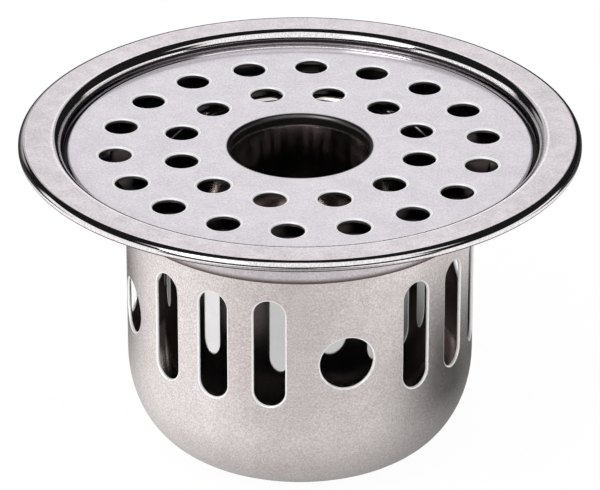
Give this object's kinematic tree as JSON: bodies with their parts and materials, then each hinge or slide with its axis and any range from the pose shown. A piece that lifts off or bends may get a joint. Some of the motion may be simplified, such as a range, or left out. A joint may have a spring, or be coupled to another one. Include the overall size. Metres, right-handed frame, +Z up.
{
  "type": "anti-cockroach drain grate",
  "caption": "Round steel floor-drain trap: recessed flange, lift-off holed grate with a hose hole, lift-out water-seal tube and a slotted cup that locks on with a part turn.",
  "frame": {"origin": "centre of the trap cup's flat underside, on the drain's axis, where the assembly stands", "axes": "+Z up along the drain's axis, out of the floor; -Y is the front of the picture; +X to its right"},
  "size_m": [0.127, 0.127, 0.0745],
  "materials": {
    "satin_steel": "satin, pressed sheet",
    "polished_steel": "bright polished disc with rolled hole edges",
    "mirror_steel": "mirror polished",
    "black_rubber": "matte"
  },
  "bodies": {
    "frame_body": {"frame": "satin_steel", "rim_seal_ring": "black_rubber", "lock_lug_1": "satin_steel", "lock_lug_2": "satin_steel", "lock_lug_3": "satin_steel"},
    "cup_body": {"trap_cup": "satin_steel"},
    "tube_body": {"water_seal_tube": "mirror_steel"},
    "grate_body": {"grate": "polished_steel"}
  },
  "joints": [
    {"name": "cup_unlock", "type": "hinge", "parent": "frame_body", "child": "cup_body", "pos_m": [0, 0, 0.0675], "axis": [0, 0, 1], "range_deg": [0, 25]},
    {"name": "tube_lift", "type": "slide", "parent": "frame_body", "child": "tube_body", "axis": [0, 0, 1], "range_m": [0, 0.06]},
    {"name": "grate_lift", "type": "slide", "parent": "tube_body", "child": "grate_body", "axis": [0, 0, 1], "range_m": [0, 0.03]}
  ]
}
